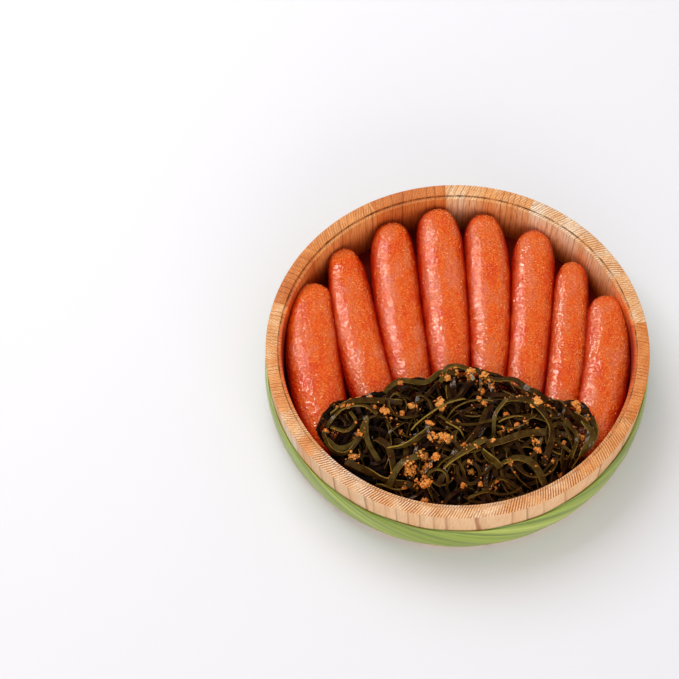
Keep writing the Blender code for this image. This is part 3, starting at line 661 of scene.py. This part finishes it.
def make_stave(number, material, end, start, pith, ring, tone, saw, pale=None):
    """A flat section of the wall, cut for the lid and spun from one joint to the next."""
    bpy.ops.mesh.primitive_plane_add(size=TUB_HEIGHT, rotation=(math.pi / 2, 0, 0),
                                     location=(FOOT_RADIUS - TUB_HEIGHT / 2, 0, TUB_HEIGHT / 2))
    piece = named(f"cedar_stave_{number:02d}")
    edit(piece)
    pick(piece, "verts", lambda p: p.x < FOOT_RADIUS - TUB_HEIGHT / 2)
    bpy.ops.transform.translate(value=(INNER_FOOT_RADIUS - FOOT_RADIUS + TUB_HEIGHT, 0, 0))
    pick(piece, "verts", lambda p: p.z > TUB_HEIGHT / 2 and p.x > LIP_RADIUS)
    bpy.ops.transform.translate(value=(RIM_RADIUS - FOOT_RADIUS, 0, 0))
    pick(piece, "verts", lambda p: p.z > TUB_HEIGHT / 2 and p.x < LIP_RADIUS)
    bpy.ops.transform.translate(value=(INNER_RIM_RADIUS - INNER_FOOT_RADIUS, 0, 0))
    ledge = TUB_HEIGHT - LEDGE_DEPTH
    for place, way in (((0, 0, ledge), (0, 0, 1)), ((LIP_RADIUS, 0, 0), (1, 0, 0))):
        bpy.ops.mesh.select_all(action='SELECT')
        bpy.ops.mesh.bisect(plane_co=place, plane_no=way)
    pick(piece, "faces", lambda p: p.z > ledge and p.x < LIP_RADIUS)
    bpy.ops.mesh.delete(type='FACE')
    pick(piece, "verts",
         lambda p: p.z > TUB_HEIGHT - JOINT_BEVEL or p.z < JOINT_BEVEL and p.x > LIP_RADIUS)
    bpy.ops.mesh.bevel(offset=CORNER_ROUNDING, segments=3, affect='VERTICES')
    bpy.ops.mesh.select_all(action='SELECT')
    margin = JOINT_GAP / RIM_RADIUS / 2
    first, last = start * DEG + margin, end * DEG - margin
    # with no window the rotation runs the other way, and the spin runs clockwise
    bpy.ops.transform.rotate(value=-last, orient_axis='Z', center_override=(0, 0, 0))
    bpy.ops.mesh.spin(steps=math.ceil((last - first) / STAVE_STEP), angle=last - first,
                      center=(0, 0, 0), axis=(0, 0, 1))
    bpy.ops.mesh.select_all(action='SELECT')
    bpy.ops.mesh.remove_doubles(threshold=1e-6)
    bpy.ops.mesh.normals_make_consistent(inside=False)
    done()
    modify(piece, 'BEVEL', width=JOINT_BEVEL, segments=1, limit_method='ANGLE', angle_limit=SHARP)
    bpy.ops.object.shade_smooth_by_angle(angle=32 * DEG)

    # in mm and degrees from here on
    x, y, z = corner_array(piece).T / MM
    radius = np.hypot(x, y)
    around = np.degrees(np.arctan2(y, x)) % 360
    middle = (start + end) / 2
    turn = np.radians((around - middle + 180) % 360 - 180)
    note(piece, "grain", 'FLOAT_VECTOR', np.column_stack([
        (radius * np.sin(turn) - pith[0]) / ring,
        (radius * np.cos(turn) - GRAIN_RADIUS - pith[1]) / ring,
        z / 10 + 7 * number]))
    note(piece, "place", 'FLOAT_VECTOR', np.column_stack([
        turn * GRAIN_RADIUS + middle * GRAIN_PER_DEGREE, radius, z]))
    # paler outside, where the planed side shows, and in the streak of sapwood
    side = (radius > OUTSIDE_RADIUS) & (z < TUB_HEIGHT / MM - EDGE_MARGIN)
    tones = np.where(side, SIDE_TONE + SIDE_TONE_SHARE * tone, tone)
    if pale:
        tones -= SAPWOOD_PALER * ((around >= pale[0]) & (around <= pale[1]))
    # marinade has crept up the inside, and painted shade with the roe's red glow, further where the sacs
    # lean on it
    reach = SOAK_AND_SHADE_HEIGHT + SOAK_AND_SHADE_FURTHER * (x / radius) ** 8
    soak_and_shade = np.clip((reach - z) / SOAK_AND_SHADE_FADE, 0, 1) * (radius < LIP_RADIUS / MM - EDGE_MARGIN)
    note(piece, "finish", 'FLOAT_VECTOR', np.column_stack([tones, np.full(len(z), saw), soak_and_shade]))
    outfit(piece, material, "cedar", f"stave_{number:02d}")


def make_staves():
    material = cedar()
    ends = [stave["start"] for stave in STAVES[1:]] + [STAVES[0]["start"] + 360]
    for number, (stave, end) in enumerate(zip(STAVES, ends), 1):
        make_stave(number, material, end, **stave)


def make_board():
    """The bottom, let into the staves' groove, with a small round along its edges."""
    bpy.ops.mesh.primitive_cylinder_add(
        vertices=144, radius=BOARD_RADIUS, depth=BOARD_TOP - BOARD_BOTTOM,
        location=(0, 0, (BOARD_TOP + BOARD_BOTTOM) / 2))
    piece = named("cedar_bottom")
    modify(piece, 'BEVEL', width=BOARD_ROUNDING, segments=2, limit_method='ANGLE', angle_limit=SHARP)
    bpy.ops.object.shade_smooth_by_angle(angle=40 * DEG)
    outfit(piece, cedar_board(), "cedar_board", "bottom_board")


def make_gap_shade_film():
    """A dark red film of painted shade on the board that reaches just into the wall."""
    bpy.ops.mesh.primitive_cylinder_add(
        vertices=96, radius=INNER_FOOT_RADIUS + FILM_DEPTH, depth=FILM_DEPTH,
        location=(0, 0, BOARD_TOP + FILM_DEPTH / 2))
    outfit(named("red_gap_shade_film"), painted_gap_shade(), "roe")


# Hoop

def make_strand(number):
    """A straight flat strand, twisted with its fellows, pressed flat, then bent round the tub."""
    turn_radius = outer_radius(HOOP_CENTRE_HEIGHT) + HOOP_STANDOFF
    bpy.ops.mesh.primitive_cylinder_add(
        vertices=STRAND_SIDES, radius=1, depth=2 * math.pi * turn_radius, end_fill_type='NOTHING',
        rotation=(0, math.pi / 2, 0))
    piece = named(f"hoop_strand_{number + 1}")
    edit(piece)
    bpy.ops.transform.resize(value=(1, STRAND_HALF_THICKNESS, STRAND_HALF_WIDTH))
    cut_lengthwise(piece, *STRAND_CUTS)
    done()
    x, _, z = corner_array(piece).T
    note(piece, "along", 'FLOAT_VECTOR', np.column_stack([
        x / MM + STRAND_OFFSET * number, z / MM, np.abs(z) / STRAND_HALF_WIDTH]))
    edit(piece)
    bpy.ops.transform.rotate(value=STRAND_LEAN, orient_axis='X', center_override=(0, 0, 0))
    bpy.ops.transform.translate(value=(0, -STRAND_REACH, 0))
    bpy.ops.transform.rotate(value=HOOP_PHASE + number * 2 * math.pi / HOOP_STRANDS,
                             orient_axis='X', center_override=(0, 0, 0))
    done()
    modify(piece, 'SIMPLE_DEFORM', deform_method='TWIST', deform_axis='X', angle=HOOP_TURNS * 2 * math.pi)
    edit(piece)
    bpy.ops.transform.resize(value=(1, HOOP_HALF_DEPTH / HOOP_HALF_HEIGHT, 1), center_override=(0, 0, 0))
    done()
    modify(piece, 'SIMPLE_DEFORM', deform_method='BEND', deform_axis='Z', angle=2 * math.pi)
    edit(piece)
    bpy.ops.mesh.remove_doubles(threshold=1e-5)
    bpy.ops.transform.translate(value=(0, -turn_radius, 0))
    bpy.ops.mesh.normals_make_consistent(inside=False)
    done()
    return piece


def make_hoop():
    """The strands, each leaning outwards with the wall."""
    material = green_bamboo()
    lean = (RIM_RADIUS - FOOT_RADIUS) / TUB_HEIGHT
    for number in range(HOOP_STRANDS):
        piece = make_strand(number)
        places = corner_array(piece)
        radius = np.hypot(places[:, 0], places[:, 1])
        places[:, :2] *= (1 + places[:, 2] * lean / radius)[:, None]
        places[:, 2] += HOOP_CENTRE_HEIGHT
        piece.data.vertices.foreach_set("co", places.ravel())
        piece.data.update()
        bpy.ops.object.shade_smooth()
        outfit(piece, material, "hoop", *(["hoop"] if number == 0 else []))


# Roe

def copy_of_node(node, name):
    """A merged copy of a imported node's mesh, to be refined."""
    piece = placed(name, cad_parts[node].data.copy())
    for attribute in [a.name for a in piece.data.attributes if not a.is_required and not a.is_internal]:
        piece.data.attributes.remove(piece.data.attributes[attribute])
    edit(piece)
    bpy.ops.mesh.remove_doubles(threshold=1e-6)
    done()
    return piece


def displace(piece, kind, size, height, level, **settings):
    """Raise and lower the surface by a procedural pattern, about the level that stays in place."""
    pattern = bpy.data.textures.new(f"{kind.lower()}_{size / MM:.1f}", kind)
    pattern.noise_scale = size
    for name, value in settings.items():
        setattr(pattern, name, value)
    modify(piece, 'DISPLACE', texture=pattern, texture_coords='GLOBAL', strength=height, mid_level=level)


def make_sacs(material):
    sacs = []
    for number in range(1, SAC_COUNT + 1):
        piece = copy_of_node(f"roe_sac_{number}", f"roe_sac_skin_{number}")
        edit(piece)
        bpy.ops.mesh.tris_convert_to_quads(face_threshold=50 * DEG, shape_threshold=50 * DEG)
        # draw the tip out a little and narrow the ring below it, so that it rounds off
        top = max(v.co.y for v in piece.data.vertices)
        pick(piece, "verts", lambda p: p.y > top - TIP_LENGTH)
        bpy.ops.transform.resize(value=(TIP_NARROWED, 1, TIP_NARROWED))
        pick(piece, "verts", lambda p: p.y > top - 0.1 * MM)
        bpy.ops.transform.translate(value=(0, TIP_DRAWN_OUT, 0))
        done()
        modify(piece, 'DISPLACE', strength=SKIN_FILL, mid_level=0)
        modify(piece, 'SUBSURF', levels=4, render_levels=4)
        modify(piece, 'SMOOTH', factor=0.5, iterations=12)
        displace(piece, 'CLOUDS', SKIN_LUMP, SKIN_LUMP_HEIGHT, 0.35, noise_depth=2)
        displace(piece, 'VORONOI', ROE_GRAIN, -ROE_GRAIN_HEIGHT, 0.4)
        bpy.ops.object.shade_smooth()
        outfit(piece, material, "roe", f"roe_sac_{number}")
        sacs.append(piece)
    return sacs


# painted shade on the sacs where they run under the heap
def shade_sacs_under_heap(sacs, ground):
    for sac in sacs:
        inside = np.array([ground.inside(vertex.co.x, vertex.co.y) for vertex in sac.data.vertices])
        note(sac, "shade_under_heap", 'FLOAT', np.clip((inside / MM - HEAP_SHADE_START) / HEAP_SHADE_FADE, 0, HEAP_SHADE_MOST))


def model_of(piece):
    """A small model's corners and faces, and the model itself removed."""
    corners = corner_array(piece)
    faces = [tuple(face.vertices) for face in piece.data.polygons]
    bpy.data.objects.remove(piece)
    return corners, faces


def joined_copies(name, faces, copies, tones):
    """One mesh of many copies of a small model, each with its own corners and tone."""
    size = len(copies[0])
    mesh = bpy.data.meshes.new(name)
    moved = [tuple(corner + size * number for corner in face)
             for number in range(len(copies)) for face in faces]
    mesh.from_pydata(np.concatenate(copies).tolist(), [], moved)
    piece = placed(name, mesh)
    note(piece, "tone", 'FLOAT', np.repeat(tones, size))
    only(piece)
    bpy.ops.object.shade_smooth()
    return piece


def small_grain():
    bpy.ops.mesh.primitive_ico_sphere_add(subdivisions=1, radius=0.5)
    return model_of(named("grain"))


def basis(normal, turn):
    """Two directions along a surface and its normal, turned about the normal."""
    side = normal.orthogonal().normalized()
    other = normal.cross(side)
    return np.array([side * math.cos(turn) + other * math.sin(turn),
                     other * math.cos(turn) - side * math.sin(turn), normal])


def make_specks(sacs):
    """Chilli flakes and burst grains half sunk in the skin of each sac, the palest painted as glints."""
    draw = random.Random(5)
    corners, faces = small_grain()
    copies, tones = [], []
    for sac in sacs:
        skin = sac.data.vertices
        found = 0
        while found < SPECKS_PER_SAC:
            vertex = skin[draw.randrange(len(skin))]
            crowd = noise.noise(vertex.co / SPECK_PATCH)
            if vertex.normal.z < draw.uniform(*SPECK_FACING) or crowd < draw.uniform(*SPECK_CROWD):
                continue
            size = draw.triangular(*SPECK_SIZE, SPECK_SIZE[0])
            shape = np.array([size, size * draw.uniform(*SPECK_WIDTH), size * draw.uniform(*SPECK_DEPTH)])
            ways = basis(vertex.normal, draw.uniform(0, math.tau))
            copies.append((corners * shape) @ ways + np.array(vertex.co))
            tones.append(draw.random())
            found += 1
    outfit(joined_copies("chilli_specks", faces, copies, tones), chilli_flake(), "roe")


# Kombu

def within(outline, x, y):
    """Whether a place lies inside an outline: a line from it to +X crosses it an odd number of times."""
    crossings = 0
    for (x1, y1), (x2, y2) in zip(outline, outline[1:] + outline[:1]):
        if (y1 > y) != (y2 > y):
            crossings += x < x1 + (y - y1) * (x2 - x1) / (y2 - y1)
    return crossings % 2 == 1


def neighbours(field):
    """The field moved by one cell, each way along both axes."""
    return [np.roll(field, step, axis) for axis in (0, 1) for step in (1, -1)]


def blurred(field, rounds):
    for _ in range(rounds):
        field = sum(neighbours(field), 2 * field) / 6
    return field


class Ground:
    """Heights of what is already in the tub, on a grid of 1 mm cells, and where the heap shows."""
    LOW = (-95, -95)
    SIZE = (191, 106)

    def __init__(self, heap, core, sacs):
        roe_top = np.max([self.tops(sac) for sac in sacs], axis=0)
        self.height = np.maximum(roe_top, self.tops(core))
        self.target = blurred(np.maximum(self.tops(heap), roe_top + STRIPS_ON_ROE), 3)
        # how far inside its visible outline each cell lies, in mm
        shows = np.array([[within(HEAP_OUTLINE, i + self.LOW[0], j + self.LOW[1])
                           for j in range(self.SIZE[1])] for i in range(self.SIZE[0])])
        self.depth = np.zeros(self.SIZE)
        for _ in range(HEAP_DEEP):
            self.depth += shows
            shows = np.logical_and.reduce([shows, *neighbours(shows)])
        self.slope = np.gradient(blurred(self.depth, 4))
        self.layers = np.zeros(self.SIZE)

    def tops(self, piece):
        """How high the piece, or the board, is in each cell."""
        corners = [vertex.co for vertex in piece.data.vertices]
        tree = BVHTree.FromPolygons(corners, [face.vertices for face in piece.data.polygons])
        found = np.full(self.SIZE, BOARD_TOP)
        for i, j in np.ndindex(self.SIZE):
            above = Vector(((i + self.LOW[0]) * MM, (j + self.LOW[1]) * MM, 1))
            hit = tree.ray_cast(above, (0, 0, -1))[0]
            if hit:
                found[i, j] = max(hit.z, BOARD_TOP)
        return found

    def cell(self, x, y):
        return tuple(min(max(round(place / MM) - low, 0), size - 1)
                     for place, low, size in zip((x, y), self.LOW, self.SIZE))

    def at(self, x, y):
        return self.height[self.cell(x, y)]

    def room(self, x, y):
        """How much higher the heap goes there."""
        return self.target[self.cell(x, y)] - self.at(x, y)

    def inside(self, x, y):
        return self.depth[self.cell(x, y)] * MM

    def outline_heading(self, x, y):
        cell = self.cell(x, y)
        return math.atan2(self.slope[0][cell], -self.slope[1][cell])

    def build_up(self, x, y, z):
        cell = self.cell(x, y)
        self.height[cell] = max(self.height[cell], z)
        self.layers[cell] += 1


def place_in(draw, area):
    """A random place in an area that is given in mm."""
    return tuple(draw.uniform(*side) * MM for side in area)


def smooth_line(corners):
    """Evenly spaced points along a smooth line through the corners (Catmull-Rom)."""
    knots = [Vector(c) * MM for c in corners]
    knots = [2 * knots[0] - knots[1]] + knots + [2 * knots[-1] - knots[-2]]
    points = []
    for a, b, c, d in zip(knots, knots[1:], knots[2:], knots[3:]):
        count = max(1, round((c - b).length / STRIP_SPACING))
        for step in range(count):
            t = step / count
            points.append(0.5 * (2 * b + (c - a) * t + (2 * a - 5 * b + 4 * c - d) * t ** 2
                                 + (3 * b - 3 * c + d - a) * t ** 3))
    return points + [knots[-2]]


def wandering_line(draw, ground, length, width, curl):
    """A curled line where the fewest strips lie so far, along the heap's outline near its edge."""
    places = []
    while len(places) < STRIP_STARTS:
        x, y = place_in(draw, STRIP_AREA)
        if ground.inside(x, y) > width / 2:
            places.append((ground.layers[ground.cell(x, y)], x, y))
    _, x, y = min(places)
    outward = max(0, 1 - ground.inside(x, y) / EDGE_ZONE)
    heading = ground.outline_heading(x, y) + draw.gauss(0, EDGE_WANDER + MIDDLE_WANDER * (1 - outward))
    heading += draw.choice((0, math.pi))
    bend = draw.gauss(0, curl) / MM
    change = draw.gauss(0, curl * CURL_CHANGE) / MM ** 2
    points = [Vector((x, y))]
    while len(points) < length / STRIP_SPACING:
        heading += bend * STRIP_SPACING
        bend += change * STRIP_SPACING
        after = points[-1] + Vector((math.cos(heading), math.sin(heading))) * STRIP_SPACING
        if ground.inside(*after) < width / 2 + STRIP_TURN_MARGIN:
            along = ground.outline_heading(*points[-1])
            heading = min((along, along + math.pi), key=lambda way: -math.cos(way - heading))
            after = points[-1] + Vector((math.cos(heading), math.sin(heading))) * STRIP_SPACING
            if ground.inside(*after) < width / 2:
                break
        points.append(after)
    return points


def strip_path(points, width, ground, draw, proud):
    """Heights and lean of a strip laid along the points; None where it would stand too proud."""
    count = len(points) - 1
    half = width / 2
    ways = [(points[min(i + 1, count)] - points[max(i - 1, 0)]).normalized() for i in range(count + 1)]
    sides = [Vector((-way.y, way.x)) for way in ways]
    steps = np.arange(count + 1)
    # every strip leans a little and sways; some are turned on edge part of the way
    lean = draw.gauss(0, STRIP_LEAN) + STRIP_SWAY * np.sin(
        draw.uniform(0, math.tau) + steps * SWAY_PER_STEP)
    if draw.random() < TURNED_STRIPS:
        lean = lean + draw.choice((-1, 1)) * np.interp(
            steps, (0, count / 2, count), [draw.uniform(*TURNED_LEAN) for _ in range(3)])
    lift = np.abs(np.sin(lean)) * half * LEAN_LIFT + STRIP_THICKNESS / 2
    floor = lift + [max(ground.at(*(point + side * half * share)) for share in STRIP_ACROSS)
                    for point, side in zip(points, sides)]
    level = floor.copy()
    for _ in range(STRIP_STIFFNESS):
        padded = np.concatenate([2 * level[:1] - level[1:2], level, 2 * level[-1:] - level[-2:-1]])
        level = np.maximum((padded[:-2] + 2 * level + padded[2:]) / 4, floor)
    level = np.minimum(level, HEAP_LIMIT - lift)
    above = level - [ground.target[ground.cell(*point)] for point in points]
    if above.mean() > proud or above.max() > proud + STRIP_PEAK:
        return None
    for point, side, z, tilt in zip(points, sides, level, lean):
        for share in STRIP_ACROSS:
            spot = point + side * half * share * math.cos(tilt)
            ground.build_up(*spot, z + half * share * math.sin(tilt) + STRIP_THICKNESS / 2)
    line = np.array([(*point, z) for point, z in zip(points, level)])
    return line, np.array([(*side, 0) for side in sides]), lean


def bent_strip(line, sides, lean, width, corners):
    """The straight model's corners carried over to the path."""
    count = len(line) - 1
    along = (corners[:, 0] + 0.5) * count
    before = np.clip(along.astype(int), 0, count - 1)
    part = (along - before)[:, None]

    def carried(values):
        return values[before] * (1 - part) + values[before + 1] * part

    forward = carried(np.gradient(line, axis=0))
    forward /= np.linalg.norm(forward, axis=1)[:, None]
    sideways = carried(sides)
    sideways -= forward * (sideways * forward).sum(axis=1)[:, None]
    sideways /= np.linalg.norm(sideways, axis=1)[:, None]
    upward = np.cross(forward, sideways)
    tilt = carried(lean[:, None])
    across = sideways * np.cos(tilt) + upward * np.sin(tilt)
    out = upward * np.cos(tilt) - sideways * np.sin(tilt)
    return carried(line) + across * corners[:, 1:2] * width + out * corners[:, 2:3] * STRIP_THICKNESS


def strip_model():
    """A square-cut bar, one unit long and wide, cut into short pieces along its length."""
    bpy.ops.mesh.primitive_cube_add(size=1)
    piece = named("strip")
    edit(piece)
    cut_lengthwise(piece, STRIP_PIECES - 1)
    done()
    return model_of(piece)


def make_core():
    """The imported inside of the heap, a little lower than the strips on it."""
    piece = copy_of_node("kombu_heap", "kombu_core")
    modify(piece, 'REMESH', mode='VOXEL', voxel_size=CORE_VOXEL)
    modify(piece, 'SMOOTH', factor=0.5, iterations=10)
    displace(piece, 'CLOUDS', CORE_LUMP, CORE_LUMP_HEIGHT, 0.6, noise_depth=1)
    edit(piece)
    bpy.ops.transform.resize(value=CORE_SIZE, center_override=CORE_CENTRE)
    done()
    bpy.ops.object.shade_smooth()
    outfit(piece, kombu_depth(), "kombu", "kombu_heap")
    return piece


def make_strips(ground):
    """Loose shreds laid one on the other, then the large ones on top."""
    draw = random.Random(23)
    corners, faces = strip_model()
    copies, tones = [], []
    order = [spec[1:] for spec in LOOSE_STRIPS for _ in range(spec[0])]
    draw.shuffle(order)
    for number, (width, shortest, longest, curl) in enumerate(order):
        width *= draw.uniform(*STRIP_WIDTHS)
        for _ in range(STRIP_TRIES):
            points = wandering_line(draw, ground, draw.uniform(shortest, longest), width, curl)
            path = len(points) > STRIP_SHORTEST and strip_path(points, width, ground, draw, STRIP_PROUD)
            if path:
                copies.append(bent_strip(*path, width, corners))
                # painted shade: the lower a strip lies, the darker it is painted; the rest of its tone is
                # random
                above = number / len(order)
                tones.append(0.45 * above ** 1.5 + draw.uniform(0, 1) ** 2 * (0.2 + 0.4 * above))
                break
    for line, width in LARGE_STRIPS:
        path = strip_path(smooth_line(line), width * MM, ground, draw, TUB_HEIGHT)
        copies.append(bent_strip(*path, width * MM, corners))
        tones.append(draw.uniform(*LARGE_STRIP_TONE))
    piece = joined_copies("kombu_strips", faces, copies, tones)
    # painted highlight: the cut edges are painted paler than the faces
    flat = [abs(corners[list(face), 2].mean()) > 0.4 for face in faces]
    note(piece, "cut", 'FLOAT', np.tile(np.logical_not(flat), len(copies)), 'FACE')
    bpy.ops.object.shade_smooth_by_angle(angle=45 * DEG)
    outfit(piece, kombu(), "kombu")


def make_crumbs(ground):
    """Clumps of loose roe grains on the kelp, and single grains strewn between them."""
    draw = random.Random(41)
    corners, faces = small_grain()
    copies, tones = [], []

    def add_grain(x, y, z, size, tone):
        rough = np.array([1 + draw.uniform(-GRAIN_ROUGHNESS, GRAIN_ROUGHNESS) for _ in corners])[:, None]
        shape = size * np.array([1, draw.uniform(*GRAIN_WIDTH), draw.uniform(*GRAIN_DEPTH)])
        upward = Vector((draw.gauss(0, GRAIN_TILT), draw.gauss(0, GRAIN_TILT), 1)).normalized()
        ways = basis(upward, draw.uniform(0, math.tau))
        middle = np.array([x, y, min(z, HEAP_LIMIT - size / 2)])
        copies.append((corners * rough * shape) @ ways + middle)
        tones.append(tone)

    clumps = [(x * MM, y * MM, size * MM) for x, y, size in LARGE_CRUMBS]
    while len(clumps) < CLUMPS:
        x, y = place_in(draw, CLUMP_AREA)
        if ground.inside(x, y) > CLUMP_INSIDE and ground.room(x, y) < CLUMP_ROOM:
            clumps.append((x, y, draw.triangular(*CLUMP_SIZE) * MM))
    for x, y, size in clumps:
        turn = draw.uniform(0, math.tau)
        long, short = (size * draw.uniform(*share) / 2 for share in (CLUMP_LONG, CLUMP_SHORT))
        tone = draw.uniform(*CLUMP_TONE) + TONE_PER_SIZE * size / MM
        base = ground.at(x, y)
        for _ in range(round(CLUMP_FEWEST + CLUMP_MORE * (size / CLUMP_USUAL) ** 2)):
            around, out = draw.uniform(0, math.tau), draw.uniform(0, 1) ** 0.75
            along, across = long * out * math.cos(around), short * out * math.sin(around)
            spot = (x + along * math.cos(turn) - across * math.sin(turn),
                    y + along * math.sin(turn) + across * math.cos(turn))
            rise = size * CLUMP_HEIGHT * (1 - out ** 2) * draw.uniform(0, 1)
            # the higher a grain sits in its clump, the brighter it is painted: painted light on the top
            add_grain(*spot, max(base, ground.at(*spot) - MM) + rise, draw.uniform(*CLUMP_GRAIN) * MM,
                      tone + draw.uniform(*TONE_SPREAD) + PAINTED_LIGHT_PER_RISE * rise / MM)
    while len(copies) < GRAINS:
        if draw.random() < GRAINS_BY_CLUMPS:
            x, y, size = draw.choice(clumps)
            reach, turn = draw.gauss(0, size), draw.uniform(0, math.tau)
            x, y = x + reach * math.cos(turn), y + reach * math.sin(turn)
        else:
            x, y = place_in(draw, GRAIN_AREA)
        if ground.inside(x, y) > GRAIN_INSIDE and ground.room(x, y) < GRAIN_ROOM:
            size = draw.triangular(*GRAIN_SIZE) * MM
            add_grain(x, y, ground.at(x, y) + GRAIN_RAISED * size, size, draw.uniform(*GRAIN_TONE))
    outfit(joined_copies("loose_roe_grains", faces, copies, tones), roe_crumb(), "roe")


# Studio

def make_studio():
    deselect()
    bpy.ops.mesh.primitive_plane_add(size=8)
    floor = named("table")
    floor.data.materials.append(studio_floor())
    world = bpy.data.worlds.new("studio")
    bpy.context.scene.world = world
    world.use_nodes = True
    feed(world.node_tree.nodes["Background"], {"Color": linear("#fffcf8"), "Strength": WORLD_LIGHT})
    for name, place, width, length, turn, power, colour, lights, shows in LIGHTS:
        light = bpy.data.lights.new(name, 'AREA')
        light.shape = 'RECTANGLE'
        light.size, light.size_y = width, length
        light.energy = power
        light.color = linear(colour)[:3]
        holder = bpy.data.objects.new(name, light)
        holder.location = place
        aimed = (-Vector(place)).to_track_quat('-Z', 'Y')
        holder.rotation_euler = (aimed @ Quaternion((0, 0, 1), turn)).to_euler()
        holder.visible_diffuse = lights
        holder.visible_glossy = shows
        bpy.context.scene.collection.objects.link(holder)
    view = bpy.context.scene.view_settings
    view.view_transform = 'Standard'
    view.look = 'None'


def make_camera():
    camera = bpy.data.cameras.new("camera")
    camera.sensor_width = SENSOR_WIDTH
    camera.lens = LENS_IN_PIXELS / FRAME_WIDTH * SENSOR_WIDTH
    camera.shift_y = CAMERA_SHIFT
    camera.clip_end = 10
    holder = bpy.data.objects.new("camera", camera)
    holder.location = CAMERA_PLACE
    holder.rotation_euler = (CAMERA_TILT, 0, 0)
    bpy.context.scene.collection.objects.link(holder)
    bpy.context.scene.camera = holder


def main():
    make_studio()
    make_camera()
    make_staves()
    make_board()
    make_gap_shade_film()
    make_hoop()
    sacs = make_sacs(cured_roe())
    make_specks(sacs)
    core = make_core()
    ground = Ground(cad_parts["kombu_heap"], core, sacs)
    shade_sacs_under_heap(sacs, ground)
    make_strips(ground)
    make_crumbs(ground)


main()
